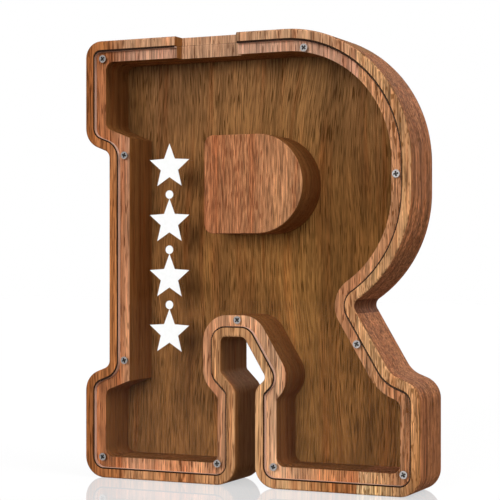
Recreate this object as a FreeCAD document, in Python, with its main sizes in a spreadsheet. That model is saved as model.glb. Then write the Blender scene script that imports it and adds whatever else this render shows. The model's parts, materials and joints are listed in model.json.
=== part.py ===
import FreeCAD, Part
import Sketcher
import math
import os

# Money box in the shape of a block letter: a hollow wooden frame, a clear screwed-on front and a coin slot.
# Millimetres. X runs across the letter, Z is up from the feet, and the front faces -Y.

doc = FreeCAD.newDocument("money_box")

# Driving dimensions
SIZES = {
    # Letter outline
    "letter_height": 210.0,
    "letter_width": 170.0,
    "board_depth": 30.0,
    "foot_gap": 10.0,
    "serif_height": 48.6,
    "serif_slope": 21.5,
    "outer_serif": 13.0,
    "inner_serif": 7.6,
    "inner_serif_height": 45.0,
    "inner_serif_slope": 45.0,
    "crotch_height": 69.0,
    "crotch_width": 12.0,
    "leg_serif": 10.46,
    "leg_lean_angle": 31.0,
    "bowl_setback": 4.2,
    "bowl_top_radius": 61.0,
    "bowl_straight": 13.8,
    "bowl_radius": 58.5,
    # Rounded corners of the outline
    "foot_radius": 10.0,
    "top_radius": 8.0,
    "shoulder_radius": 10.0,
    "inner_shoulder_radius": 7.0,
    "bracket_radius": 4.0,
    "inner_bracket_radius": 2.5,
    "leg_bracket_radius": 12.0,
    "crotch_radius": 2.5,
    "waist_radius": 3.5,
    "edge_round": 1.0,
    # Walls and seats
    "rim": 4.3,
    "wall": 10.0,
    "router_radius": 4.0,
    "panel_thickness": 5.0,
    "panel_fit": 0.1,
    "seam_from_waist": 2.1,
    # Clear window
    "window_thickness": 2.5,
    "window_sunk": 0.3,
    "window_fit": 0.55,
    # Coin slot
    "slot_length": 32.0,
    "slot_gap": 5.0,
    "slot_from_left": 48.6,
    # Counter block
    "block_width": 50.0,
    "block_height": 46.0,
    "block_from_left": 62.9,
    "block_centre_height": 139.9,
    "block_corner_radius": 4.5,
    "block_edge_round": 0.5,
    "block_window_gap": 0.1,
    # Screws
    "screw_head_diameter": 3.6,
    "screw_head_rim": 0.2,
    "screw_diameter": 2.0,
    "screw_length": 10.0,
    "screw_tip": 2.4,
    "pilot_spare": 2.0,
    "screw_fit": 0.08,
    "screw_seat_gap": 0.05,
    "recess_length": 2.2,
    "recess_width": 0.5,
    "recess_depth": 0.9,
    "screw_inset": 7.2,
    "inner_screw_inset": 8.2,
    "corner_screw_inset": 9.3,
    "right_screw_inset": 7.9,
    "screw_lift": 0.7,
    "stem_screw_inset": 56.0,
    "crotch_screw_offset": 8.6,
    "leg_screw_drop": 17.0,
    "top_screw_angle": 10.5,
    # Window decal
    "decal_thickness": 0.15,
    "decal_from_left": 45.8,
    "decal_centre_height": 109.5,
    "star_pitch": 26.0,
    "star_radius": 11.0,
    "star_waist": 4.8,
    "dot_radius": 2.0,
}
STAR_COUNT = 4
STAR_POINTS = 5
# How far a cutting solid runs past the face that it opens
OVERRUN = 2.0
# Each screw head stops at its own turn
SCREW_TURN_STEP = 37.0

sheet = doc.addObject("Spreadsheet::Sheet", "sizes")
for row, (alias, millimetres) in enumerate(SIZES.items(), start=1):
    sheet.set(f"A{row}", alias)
    sheet.set(f"B{row}", str(millimetres))
    sheet.setAlias(f"B{row}", alias)
doc.recompute()

# Places that several pieces share, written as expressions of the driving dimensions
LEFT = "(-sizes.letter_width / 2)"
RIGHT = "(sizes.letter_width / 2)"
FRONT = "(-sizes.board_depth / 2)"
BACK = "(sizes.board_depth / 2)"
GAP_SIDE = "(sizes.foot_gap / 2)"
STEM_LEFT = f"({LEFT} + sizes.outer_serif)"
STEM_RIGHT = f"(-{GAP_SIDE} - sizes.inner_serif)"
CROTCH_RIGHT = f"({STEM_RIGHT} + sizes.crotch_width)"
LEAN = "(sizes.leg_lean_angle * 1deg)"
LEG_OUTSIDE = f"({RIGHT} - sizes.leg_serif)"
WAIST_X = "(letter_outline.Constraints.waist_across / 1mm)"
WAIST_Z = "(letter_outline.Constraints.waist_height / 1mm)"
BOWL_SIDE = f"({RIGHT} - sizes.bowl_setback)"
BOWL_TOP_X = f"({BOWL_SIDE} - sizes.bowl_top_radius)"
BOWL_TOP_Z = "(sizes.letter_height - sizes.bowl_top_radius)"
BOWL_LOW_Z = f"({BOWL_TOP_Z} - sizes.bowl_straight)"
SEAM = f"({WAIST_X} - sizes.seam_from_waist)"
LEDGE_DEPTH = "(sizes.window_sunk + sizes.window_thickness)"
WINDOW_FRONT = f"({FRONT} + sizes.window_sunk)"
PANEL_FRONT = f"({BACK} - sizes.panel_thickness)"
SLOT_DEPTH = f"({LEDGE_DEPTH} + sizes.slot_gap)"
SEAT_DIAMETER = "(sizes.screw_diameter + 2 * sizes.screw_fit)"


def value(alias):
    """Number in one cell of the sheet."""
    return float(sheet.get(alias))


def add(kind, name, expressions=None, **settings):
    """Document object with plain settings and sizes bound to the sheet."""
    thing = doc.addObject(kind, name)
    for key, setting in settings.items():
        setattr(thing, key, setting)
    for path, expression in (expressions or {}).items():
        thing.setExpression(path, expression)
    return thing


def at(x="0", y="0", z="0"):
    """Expressions that place an object."""
    return {"Placement.Base.x": x, "Placement.Base.y": y, "Placement.Base.z": z}


def constrain(sketch, expression, kind, *where):
    """Add a dimension to a sketch and bind it to an expression."""
    index = sketch.addConstraint(Sketcher.Constraint(kind, *where))
    name = f"size_{index}"
    sketch.renameConstraint(index, name)
    sketch.setExpression(f"Constraints.{name}", expression)
    return name


def place_point(sketch, geometry, end, x, z):
    """Hold one point of a sketch at a place given by two expressions."""
    point = sketch.getPoint(geometry, end)
    constrain(sketch, x, "DistanceX", -1, 1, geometry, end, point.x)
    constrain(sketch, z, "DistanceY", -1, 1, geometry, end, point.y)


# Letter outline
def lean_tangent():
    return math.tan(math.radians(value("leg_lean_angle")))


def outline_corners():
    """Corners of the letter before rounding, anticlockwise from the left foot, with each one's radius."""
    half = value("letter_width") / 2
    gap = value("foot_gap") / 2
    top = value("letter_height")
    serif = value("serif_height")
    inner = value("inner_serif_height")
    rise = math.tan(math.radians(value("serif_slope")))
    inner_rise = math.tan(math.radians(value("inner_serif_slope")))
    lean = lean_tangent()
    stem_left = value("outer_serif") - half
    stem_right = -gap - value("inner_serif")
    crotch = value("crotch_height")
    crotch_right = stem_right + value("crotch_width")
    leg_outside = half - value("leg_serif") - lean * (crotch - serif)
    outer_step = value("outer_serif") * rise

    def leg_meets(side, height, slope, leg_x):
        """Where a slope that starts on a foot's side meets a leg edge that passes leg_x at the crotch."""
        x = (leg_x + lean * (crotch - height + side * slope)) / (1 + lean * slope)
        return x, height + (x - side) * slope

    leg_left = leg_meets(gap, inner, inner_rise, crotch_right)
    leg_right = leg_meets(half, serif, -rise, leg_outside)
    return [
        (-half, 0, "foot_radius"),
        (-gap, 0, "foot_radius"),
        (-gap, inner, "inner_shoulder_radius"),
        (stem_right, inner + value("inner_serif") * inner_rise, "inner_bracket_radius"),
        (stem_right, crotch, "crotch_radius"),
        (crotch_right, crotch, "crotch_radius"),
        (*leg_left, "inner_bracket_radius"),
        (gap, inner, "inner_shoulder_radius"),
        (gap, 0, "foot_radius"),
        (half, 0, "foot_radius"),
        (half, serif, "shoulder_radius"),
        (*leg_right, "leg_bracket_radius"),
        (*waist_corner(leg_outside), "waist_radius"),
        (half - value("bowl_setback"), top, "bowl_top_radius"),
        (-half, top, "top_radius"),
        (-half, top - serif, "shoulder_radius"),
        (stem_left, top - serif - outer_step, "bracket_radius"),
        (stem_left, serif + outer_step, "bracket_radius"),
        (-half, serif, "shoulder_radius"),
    ]


def lower_bowl_centre():
    """Centre of the bowl's lower arc."""
    radius = value("bowl_radius")
    x = value("letter_width") / 2 - value("bowl_setback") - radius
    z = value("letter_height") - value("bowl_top_radius") - value("bowl_straight")
    return FreeCAD.Vector(x, z, 0)


def waist_corner(leg_x):
    """Where the leg's outer edge, which passes leg_x at the crotch, meets the bowl's lower arc."""
    centre = lower_bowl_centre()
    lean = math.radians(value("leg_lean_angle"))
    along = FreeCAD.Vector(-math.sin(lean), math.cos(lean), 0)
    start = FreeCAD.Vector(leg_x, value("crotch_height"), 0) - centre
    half = start.dot(along)
    reach = -half - math.sqrt(half ** 2 - start.dot(start) + value("bowl_radius") ** 2)
    corner = centre + start + along * reach
    return corner.x, corner.y


def rounding(before, corner, after, radius):
    """Arc that rounds the corner between two straight edges: its centre, first and last points."""
    to_before = (before - corner).normalize()
    to_after = (after - corner).normalize()
    half_angle = to_before.getAngle(to_after) / 2
    reach = radius / math.tan(half_angle)
    centre = corner + (to_before + to_after).normalize() * (radius / math.sin(half_angle))
    return centre, corner + to_before * reach, corner + to_after * reach


def waist_rounding(below, corner, radius):
    """Arc that rounds the waist: it touches the leg's edge and the bowl's lower arc from outside."""
    bowl = lower_bowl_centre()
    along = (corner - below).normalize()
    outward = FreeCAD.Vector(along.y, -along.x, 0)
    start = below + outward * radius - bowl
    half = start.dot(along)
    reach = -half - math.sqrt(half ** 2 - start.dot(start) + (value("bowl_radius") + radius) ** 2)
    centre = bowl + start + along * reach
    return centre, centre - outward * radius, centre + (bowl - centre).normalize() * radius


def arc_between(centre, first, last, anticlockwise):
    """Arc of a sketch, which always runs anticlockwise."""
    begin, end = (first, last) if anticlockwise else (last, first)
    circle = Part.Circle(centre, FreeCAD.Vector(0, 0, 1), (first - centre).Length)
    angles = [math.atan2((p - centre).y, (p - centre).x) for p in (begin, end)]
    return Part.ArcOfCircle(circle, *angles)


def letter_outline():
    """Sketch of the letter: straight edges and arcs, each tangent to the next."""
    sketch = doc.addObject("Sketcher::SketchObject", "letter_outline")
    sketch.Placement.Rotation = FreeCAD.Rotation(FreeCAD.Vector(1, 0, 0), 90)
    sketch.setExpression("Placement.Base.y", FRONT)
    corners = outline_corners()
    points = [FreeCAD.Vector(x, z, 0) for x, z, radius in corners]
    chain = []
    roundings = []
    for i, (x, z, radius_alias) in enumerate(corners):
        before, corner, after = points[i - 1], points[i], points[(i + 1) % len(points)]
        turn = (corner - before).cross(after - corner).z
        if radius_alias == "waist_radius":
            arc = waist_rounding(before, corner, value(radius_alias))
            turn = -1
        elif corners[i - 1][2] == "waist_radius":
            side_foot = FreeCAD.Vector(x, lower_bowl_centre().y, 0)
            arc = rounding(side_foot, corner, after, value(radius_alias))
        else:
            arc = rounding(before, corner, after, value(radius_alias))
        roundings.append((*arc, turn > 0, radius_alias))

    def add_line(first, last):
        index = sketch.addGeometry(Part.LineSegment(first, last))
        chain.append((index, 1, 2))
        return index

    def add_arc(centre, first, last, anticlockwise, radius_alias):
        index = sketch.addGeometry(arc_between(centre, first, last, anticlockwise))
        chain.append((index, 1, 2) if anticlockwise else (index, 2, 1))
        constrain(sketch, f"sizes.{radius_alias}", "Radius", index, (first - centre).Length)
        return index

    lines = []
    for i, arc in enumerate(roundings):
        after = roundings[(i + 1) % len(roundings)]
        index = add_arc(*arc)
        if arc[4] == "waist_radius":
            waist = index
            bowl = lower_bowl_centre()
            side_foot = FreeCAD.Vector(after[1].x, bowl.y, 0)
            add_arc(bowl, arc[2], side_foot, True, "bowl_radius")
            lines.append(add_line(side_foot, after[1]))
        else:
            lines.append(add_line(arc[2], after[1]))
    for i, (geometry, first, last) in enumerate(chain):
        following = chain[(i + 1) % len(chain)]
        sketch.addConstraint(Sketcher.Constraint("Tangent", geometry, last, following[0], following[1]))

    def upright(line, x):
        sketch.addConstraint(Sketcher.Constraint("Vertical", line))
        constrain(sketch, x, "DistanceX", -1, 1, line, 1, sketch.getPoint(line, 1).x)

    def level(line, z):
        sketch.addConstraint(Sketcher.Constraint("Horizontal", line))
        constrain(sketch, z, "DistanceY", -1, 1, line, 1, sketch.getPoint(line, 1).y)

    def sloped(line, angle, x, z):
        """Hold a line at an angle, through a place that x and z give."""
        start, finish = (sketch.getPoint(line, end) for end in (1, 2))
        direction = finish - start
        constrain(sketch, angle, "Angle", line, math.atan2(direction.y, direction.x))
        mark = sketch.addGeometry(Part.Point(start), True)
        sketch.addConstraint(Sketcher.Constraint("PointOnObject", mark, 1, line))
        place_point(sketch, mark, 1, x, z)

    (left_base, left_inner, left_slope, stem_right, crotch_top, leg_left, right_slope, right_inner,
     right_base, right_side, right_shoulder, leg_right, bowl_side, top, upper_side, upper_slope,
     stem_left, lower_slope, lower_side) = lines
    level(left_base, "0")
    upright(left_inner, f"-{GAP_SIDE}")
    sloped(left_slope, "180deg - sizes.inner_serif_slope * 1deg", f"-{GAP_SIDE}", "sizes.inner_serif_height")
    upright(stem_right, STEM_RIGHT)
    level(crotch_top, "sizes.crotch_height")
    sloped(leg_left, f"{LEAN} - 90deg", CROTCH_RIGHT, "sizes.crotch_height")
    sloped(right_slope, "sizes.inner_serif_slope * 1deg - 180deg", GAP_SIDE, "sizes.inner_serif_height")
    upright(right_inner, GAP_SIDE)
    level(right_base, "0")
    upright(right_side, RIGHT)
    sloped(right_shoulder, "180deg - sizes.serif_slope * 1deg", RIGHT, "sizes.serif_height")
    sloped(leg_right, f"{LEAN} + 90deg", LEG_OUTSIDE, "sizes.serif_height")
    upright(bowl_side, BOWL_SIDE)
    constrain(sketch, "sizes.bowl_straight", "DistanceY", bowl_side, 1, bowl_side, 2, value("bowl_straight"))
    level(top, "sizes.letter_height")
    upright(upper_side, LEFT)
    sloped(upper_slope, "-sizes.serif_slope * 1deg", LEFT, "sizes.letter_height - sizes.serif_height")
    upright(stem_left, STEM_LEFT)
    sloped(lower_slope, "sizes.serif_slope * 1deg - 180deg", LEFT, "sizes.serif_height")
    upright(lower_side, LEFT)
    waist_centre = sketch.getPoint(waist, 3)
    measures = {"waist_across": ("DistanceX", waist_centre.x), "waist_height": ("DistanceY", waist_centre.y)}
    for name, (kind, distance) in measures.items():
        measure = sketch.addConstraint(Sketcher.Constraint(kind, -1, 1, waist, 3, distance))
        sketch.setDriving(measure, False)
        sketch.renameConstraint(measure, name)
    doc.recompute()
    return sketch


outline = letter_outline()
letter_face = add("Part::Face", "letter_face", Sources=[outline])


def inset(name, source, distance):
    """Flat shape whose edge is moved inwards by a distance, with rounded joins."""
    return add("Part::Offset2D", name, {"Value": f"-({distance})"}, Source=source, Mode="Skin", Join="Arc")


def prism(name, source, start, end):
    """Solid between two depths behind the front face."""
    ends = {"LengthFwd": end, "LengthRev": f"-({start})"}
    return add("Part::Extrusion", name, ends, Base=source, DirMode="Custom", Dir=(0, 1, 0), Solid=True)


def block(name, x, y, z):
    """Box between two places on each axis."""
    sizes = {
        "Length": f"{x[1]} - {x[0]}",
        "Width": f"{y[1]} - {y[0]}",
        "Height": f"{z[1]} - {z[0]}",
    }
    return add("Part::Box", name, {**sizes, **at(x[0], y[0], z[0])})


# Screw places on the ledge: along X, then up Z
LEG_SCREW_Z = f"({WAIST_Z} - sizes.leg_screw_drop)"
LEG_SCREW_X = (
    f"{LEG_OUTSIDE} - ({LEG_SCREW_Z} - sizes.serif_height) * tan({LEAN})"
    f" - sizes.screw_inset / cos({LEAN})"
)
TOP_SCREW_REACH = "(sizes.bowl_top_radius - sizes.inner_screw_inset)"
TOP_SCREW_ANGLE = "(sizes.top_screw_angle * 1deg)"
CORNER = "sizes.corner_screw_inset"
# The screws sit a little above the middle of the ledge
LIFT = "sizes.screw_lift"
STEM_SCREW_X = f"{STEM_LEFT} + sizes.inner_screw_inset"
SCREW_PLACES = [
    (f"{LEFT} + {CORNER}", f"sizes.letter_height - {CORNER} + {LIFT}"),
    (STEM_SCREW_X, f"sizes.letter_height - sizes.stem_screw_inset + {LIFT}"),
    (STEM_SCREW_X, f"sizes.stem_screw_inset + {LIFT}"),
    (f"{LEFT} + {CORNER}", f"{CORNER} + {LIFT}"),
    (f"-{GAP_SIDE} - {CORNER}", f"{CORNER} + {LIFT}"),
    (f"{STEM_RIGHT} + sizes.crotch_screw_offset", f"sizes.crotch_height + sizes.screw_inset + {LIFT}"),
    (f"{GAP_SIDE} + {CORNER}", f"{CORNER} + {LIFT}"),
    (f"{RIGHT} - sizes.right_screw_inset", f"{CORNER} + {LIFT}"),
    (LEG_SCREW_X, LEG_SCREW_Z),
    (f"{BOWL_SIDE} - sizes.screw_inset", f"{BOWL_TOP_Z} - sizes.bowl_straight / 2 + {LIFT}"),
    (f"{BOWL_TOP_X} + {TOP_SCREW_REACH} * sin({TOP_SCREW_ANGLE})",
     f"{BOWL_TOP_Z} + {TOP_SCREW_REACH} * cos({TOP_SCREW_ANGLE})"),
]
INTO_FRONT = FreeCAD.Rotation(FreeCAD.Vector(1, 0, 0), -90)
OUT_OF_FRONT = FreeCAD.Rotation(FreeCAD.Vector(1, 0, 0), 90)


def drilled(name, place, diameter, start, end):
    """Round hole into the front at one screw, between two depths behind the front face."""
    x, z = place
    sizes = {"Radius": f"{diameter} / 2", "Height": f"{end} - ({start})"}
    hole = add("Part::Cylinder", name)
    hole.Placement.Rotation = INTO_FRONT
    for path, expression in {**sizes, **at(x, f"{FRONT} + {start}", z)}.items():
        hole.setExpression(path, expression)
    return hole


def countersunk(name, place):
    """Cone in the window that seats one screw head."""
    x, z = place
    seat = f"{WINDOW_FRONT} + sizes.screw_head_rim + sizes.screw_seat_gap"
    wide = "(sizes.screw_head_diameter / 2 + sizes.screw_seat_gap)"
    narrow = f"({SEAT_DIAMETER} / 2)"
    cone = add("Part::Cone", name)
    cone.Placement.Rotation = INTO_FRONT
    sizes = {"Radius1": wide, "Radius2": narrow, "Height": f"{wide} - {narrow}"}
    for path, expression in {**sizes, **at(x, seat, z)}.items():
        cone.setExpression(path, expression)
    return cone


def kept_corner(name, level, upwards):
    """Wedge of wood left in the cavity where a serif's slope meets the stem, so that the corner is sharp."""
    slope = "(sizes.serif_slope * 1deg)"
    across = f"({STEM_LEFT} + sizes.wall)"
    height = (f"(sizes.serif_height + (sizes.outer_serif + sizes.wall) * tan({slope})"
              f" - sizes.wall / cos({slope}))")
    reach = f"((sizes.bracket_radius + sizes.wall) / tan((90deg + {slope}) / 2) + {OVERRUN})"
    ties = [
        (across, height),
        (across, f"({height} + {reach})"),
        (f"({across} - {reach} * cos({slope}))", f"({height} - {reach} * sin({slope}))"),
    ]
    ties = [(x, f"{level} {upwards} {z}") for x, z in ties]
    points = [tuple(float(sheet.evalExpression(tie)) for tie in pair) for pair in ties]
    sketch = doc.addObject("Sketcher::SketchObject", f"{name}_outline")
    sketch.Placement.Rotation = OUT_OF_FRONT
    sketch.setExpression("Placement.Base.y", FRONT)
    close_lines(sketch, points, ties)
    return prism(name, sketch, f"-2 * {OVERRUN}", f"sizes.board_depth + 2 * {OVERRUN}")


# Wooden frame, before its staves are told apart
def frame():
    blank = prism("frame_blank", letter_face, "0", "sizes.board_depth")
    doc.recompute()
    faces = (-value("board_depth") / 2, value("board_depth") / 2)
    rounded = add("Part::Fillet", "frame_rounded", Base=blank)
    rim_edges = []
    for number, edge in enumerate(blank.Shape.Edges, start=1):
        depths = [v.Y for v in edge.Vertexes]
        if any(max(abs(y - face) for y in depths) < 1e-6 for face in faces):
            rim_edges.append((number, value("edge_round"), value("edge_round")))
    rounded.Edges = rim_edges
    core = inset("pocket_core", letter_face, "sizes.wall + sizes.router_radius")
    cavity = inset("cavity_outline", core, "-sizes.router_radius")
    rebate = inset("rebate_outline", letter_face, "sizes.rim")
    pocket = prism("pocket", cavity, f"-{OVERRUN}", f"sizes.board_depth + {OVERRUN}")
    corners = [kept_corner("low_corner", "0", "+"), kept_corner("high_corner", "sizes.letter_height", "-")]
    kept = add("Part::MultiFuse", "kept_corners", Shapes=corners)
    slot_left = f"({LEFT} + sizes.slot_from_left)"
    cuts = [
        add("Part::Cut", "cavity", Base=pocket, Tool=kept),
        prism("front_rebate", rebate, f"-{OVERRUN}", LEDGE_DEPTH),
        prism("back_rebate", rebate, "sizes.board_depth - sizes.panel_thickness",
              f"sizes.board_depth + {OVERRUN}"),
        block("coin_notch",
              (slot_left, f"({slot_left} + sizes.slot_length)"),
              (f"({FRONT} - {OVERRUN})", f"({FRONT} + {SLOT_DEPTH})"),
              (f"(sizes.letter_height - sizes.wall - {OVERRUN})", f"(sizes.letter_height + {OVERRUN})")),
    ]
    depth = "(sizes.window_sunk + sizes.screw_length + sizes.pilot_spare)"
    for i, place in enumerate(SCREW_PLACES, start=1):
        cuts.append(drilled(f"pilot_{i:02d}", place, SEAT_DIAMETER, LEDGE_DEPTH, depth))
    removed = add("Part::MultiFuse", "frame_cuts", Shapes=cuts)
    return add("Part::Cut", "frame_whole", Base=rounded, Tool=removed)


def staves(whole):
    """The frame as it was glued: the seam and the letter's shape part it into four pieces."""
    beyond = f"(sizes.letter_width / 2 + {OVERRUN})"
    depths = (f"({FRONT} - {OVERRUN})", f"({BACK} + {OVERRUN})")
    above = f"(sizes.letter_height + {OVERRUN})"
    below = f"(-{OVERRUN})"
    waist_across = (f"(({CROTCH_RIGHT} + {SEAM}) / 2)", SEAM)
    waist_up = (f"((sizes.wall + {WAIST_Z}) / 2)", BOWL_LOW_Z)
    spaces = {
        "frame_bowl_stave": ((SEAM, beyond), (WAIST_Z, above)),
        "frame_leg_stave": ((SEAM, beyond), (below, WAIST_Z)),
        "frame_waist": (waist_across, waist_up),
    }
    cut_off = []
    pieces = []
    for name, (across, up) in spaces.items():
        cut_off.append(block(f"{name}_space", across, depths, up))
        pieces.append(add("Part::Common", name, Base=whole, Tool=cut_off[-1]))
    others = add("Part::MultiFuse", "other_spaces", Shapes=cut_off)
    return [add("Part::Cut", "frame_main_stave", Base=whole, Tool=others), *pieces]


# Back panel, glued into the rear rebate
def back_panel():
    fitted = inset("panel_outline", letter_face, "sizes.rim + sizes.panel_fit")
    return prism("back_panel", fitted, "sizes.board_depth - sizes.panel_thickness", "sizes.board_depth")


# Clear window, with a countersunk hole for each screw
def front_window():
    edge = inset("window_outline", letter_face, "sizes.rim + sizes.window_fit")
    plate = prism("window_plate", edge, "sizes.window_sunk", LEDGE_DEPTH)
    holes = []
    past_back = f"({LEDGE_DEPTH} + {OVERRUN})"
    head = "(sizes.screw_head_diameter + 2 * sizes.screw_seat_gap)"
    head_end = "(sizes.window_sunk + sizes.screw_head_rim + sizes.screw_seat_gap)"
    for i, place in enumerate(SCREW_PLACES, start=1):
        shank = drilled(f"window_hole_{i:02d}", place, SEAT_DIAMETER, f"(-{OVERRUN})", past_back)
        mouth = drilled(f"head_hole_{i:02d}", place, head, f"(-{OVERRUN})", head_end)
        cone = countersunk(f"countersink_{i:02d}", place)
        holes.append(add("Part::MultiFuse", f"screw_seat_{i:02d}", Shapes=[shank, mouth, cone]))
    removed = add("Part::MultiFuse", "window_holes", Shapes=holes)
    return add("Part::Cut", "front_window", Base=plate, Tool=removed)


def origin_plane(body, role):
    """One of a body's own origin planes."""
    return next(plane for plane in body.Origin.OriginFeatures if plane.Role == role)


def body_sketch(body, name, role):
    sketch = body.newObject("Sketcher::SketchObject", name)
    sketch.AttachmentSupport = [(origin_plane(body, role), "")]
    sketch.MapMode = "FlatFace"
    return sketch


def feature(body, kind, name, expressions=None, **settings):
    """Feature of a body, which becomes the body's tip."""
    thing = body.newObject(kind, name)
    for key, setting in settings.items():
        setattr(thing, key, setting)
    for path, expression in (expressions or {}).items():
        thing.setExpression(path, expression)
    body.Tip = thing
    return thing


def close_lines(sketch, points, expressions):
    """Closed outline of straight lines whose corners are held by expressions."""
    first = sketch.GeometryCount
    count = len(points)
    for i, point in enumerate(points):
        following = points[(i + 1) % count]
        sketch.addGeometry(Part.LineSegment(FreeCAD.Vector(*point, 0), FreeCAD.Vector(*following, 0)))
    for i, (x, z) in enumerate(expressions):
        line = first + i
        following = first + (i + 1) % count
        sketch.addConstraint(Sketcher.Constraint("Coincident", line, 2, following, 1))
        place_point(sketch, line, 1, x, z)


# Solid block that stands for the letter's counter, glued to the back panel
def counter_block():
    body = doc.addObject("PartDesign::Body", "counter_block")
    sketch = body_sketch(body, "block_face", "XZ_Plane")
    left = f"({LEFT} + sizes.block_from_left)"
    x0 = value("block_from_left") - value("letter_width") / 2
    half = value("block_height") / 2
    z0 = value("block_centre_height")
    corner = value("block_corner_radius")
    turn_x = x0 + value("block_width") - half
    right_end = FreeCAD.Vector(turn_x, z0, 0)
    axis = FreeCAD.Vector(0, 0, 1)
    quarter = math.pi / 2
    bottom = FreeCAD.Vector(x0 + corner, z0 - half + corner, 0)
    top = FreeCAD.Vector(x0 + corner, z0 + half - corner, 0)
    shapes = [
        Part.LineSegment(FreeCAD.Vector(bottom.x, z0 - half, 0), FreeCAD.Vector(turn_x, z0 - half, 0)),
        Part.ArcOfCircle(Part.Circle(right_end, axis, half), -quarter, quarter),
        Part.LineSegment(FreeCAD.Vector(turn_x, z0 + half, 0), FreeCAD.Vector(top.x, z0 + half, 0)),
        Part.ArcOfCircle(Part.Circle(top, axis, corner), quarter, 2 * quarter),
        Part.LineSegment(FreeCAD.Vector(x0, top.y, 0), FreeCAD.Vector(x0, bottom.y, 0)),
        Part.ArcOfCircle(Part.Circle(bottom, axis, corner), 2 * quarter, 3 * quarter),
    ]
    sketch.addGeometry(shapes)
    for i in range(len(shapes)):
        sketch.addConstraint(Sketcher.Constraint("Tangent", i, 2, (i + 1) % len(shapes), 1))
    sketch.addConstraint(Sketcher.Constraint("Horizontal", 0))
    sketch.addConstraint(Sketcher.Constraint("Vertical", 4))
    constrain(sketch, "sizes.block_corner_radius", "Radius", 3, corner)
    constrain(sketch, "sizes.block_corner_radius", "Radius", 5, corner)
    constrain(sketch, "sizes.block_height / 2", "Radius", 1, half)
    constrain(sketch, f"{left} + sizes.block_width - sizes.block_height / 2",
              "DistanceX", -1, 1, 1, 3, turn_x)
    constrain(sketch, "sizes.block_centre_height", "DistanceY", -1, 1, 1, 3, z0)
    constrain(sketch, left, "DistanceX", -1, 1, 4, 1, x0)
    thickness = f"sizes.board_depth - sizes.panel_thickness - {LEDGE_DEPTH} - sizes.block_window_gap"
    pad = feature(body, "PartDesign::Pad", "block_pad", {"Length": thickness}, Profile=sketch)
    doc.recompute()
    front = min(range(len(pad.Shape.Faces)), key=lambda n: pad.Shape.Faces[n].CenterOfMass.y)
    feature(body, "PartDesign::Fillet", "block_edge", {"Radius": "sizes.block_edge_round"},
            Base=(pad, [f"Face{front + 1}"]))
    body.setExpression("Placement.Base.y", PANEL_FRONT)
    return body


# Countersunk cross-head wood screw, made upright with its head at the top, then laid into the front
def screw(number, place):
    name = f"screw_{number:02d}"
    body = doc.addObject("PartDesign::Body", name)
    profile = body_sketch(body, f"{name}_profile", "XZ_Plane")
    head = "sizes.screw_head_diameter / 2"
    shank = "sizes.screw_diameter / 2"
    neck = f"-(sizes.screw_head_rim + {head} - {shank})"
    half_head = value("screw_head_diameter") / 2
    half_shank = value("screw_diameter") / 2
    rim = value("screw_head_rim")
    length = value("screw_length")
    tip = value("screw_tip")
    points = [
        (0, 0),
        (0, -length),
        (half_shank, tip - length),
        (half_shank, -(rim + half_head - half_shank)),
        (half_head, -rim),
        (half_head, 0),
    ]
    expressions = [
        ("0", "0"),
        ("0", "-sizes.screw_length"),
        (shank, "sizes.screw_tip - sizes.screw_length"),
        (shank, neck),
        (head, "-sizes.screw_head_rim"),
        (head, "0"),
    ]
    close_lines(profile, points, expressions)
    feature(body, "PartDesign::Revolution", f"{name}_turned",
            Profile=profile, ReferenceAxis=(profile, ["V_Axis"]), Angle=360.0)
    slit = body_sketch(body, f"{name}_slit", "XY_Plane")
    half_length = value("recess_length") / 2
    half_width = value("recess_width") / 2
    signs = [(-1, -1), (1, -1), (1, 1), (-1, 1)]
    corners = [(a * half_length, b * half_width) for a, b in signs]
    ties = [(f"{a} * sizes.recess_length / 2", f"{b} * sizes.recess_width / 2") for a, b in signs]
    close_lines(slit, corners, ties)
    cut = feature(body, "PartDesign::Pocket", f"{name}_slot", {"Length": "sizes.recess_depth"}, Profile=slit)
    feature(body, "PartDesign::PolarPattern", f"{name}_cross",
            Originals=[cut], Axis=(slit, ["N_Axis"]), Angle=90.0, Occurrences=2)
    own_turn = FreeCAD.Rotation(FreeCAD.Vector(0, 0, 1), SCREW_TURN_STEP * number)
    body.Placement.Rotation = OUT_OF_FRONT * own_turn
    x, z = place
    for path, expression in at(x, WINDOW_FRONT, z).items():
        body.setExpression(path, expression)
    return body


# White vinyl on the window: a column of stars with a dot between each two
def window_decal():
    sketch = doc.addObject("Sketcher::SketchObject", "decal_outline")
    sketch.Placement.Rotation = OUT_OF_FRONT
    sketch.setExpression("Placement.Base.y", WINDOW_FRONT)
    middle_x = value("decal_from_left") - value("letter_width") / 2
    centre_x = f"({LEFT} + sizes.decal_from_left)"
    for star in range(STAR_COUNT):
        steps = star - (STAR_COUNT - 1) / 2
        middle_z = value("decal_centre_height") + steps * value("star_pitch")
        centre_z = f"(sizes.decal_centre_height + {steps} * sizes.star_pitch)"
        points = []
        ties = []
        for k in range(2 * STAR_POINTS):
            alias = "star_waist" if k % 2 else "star_radius"
            angle = 90 + 180 * k / STAR_POINTS
            across, up = math.cos(math.radians(angle)), math.sin(math.radians(angle))
            points.append((middle_x + value(alias) * across, middle_z + value(alias) * up))
            ties.append((f"{centre_x} + sizes.{alias} * cos({angle}deg)",
                         f"{centre_z} + sizes.{alias} * sin({angle}deg)"))
        close_lines(sketch, points, ties)
    for dot in range(STAR_COUNT - 1):
        steps = dot - (STAR_COUNT - 2) / 2
        middle = FreeCAD.Vector(middle_x, value("decal_centre_height") + steps * value("star_pitch"), 0)
        circle = sketch.addGeometry(Part.Circle(middle, FreeCAD.Vector(0, 0, 1), value("dot_radius")))
        constrain(sketch, "sizes.dot_radius", "Radius", circle, value("dot_radius"))
        place_point(sketch, circle, 3, centre_x, f"sizes.decal_centre_height + {steps} * sizes.star_pitch")
    return add("Part::Extrusion", "window_decal", {"LengthFwd": "sizes.decal_thickness"},
               Base=sketch, DirMode="Custom", Dir=(0, -1, 0), Solid=True)


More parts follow.
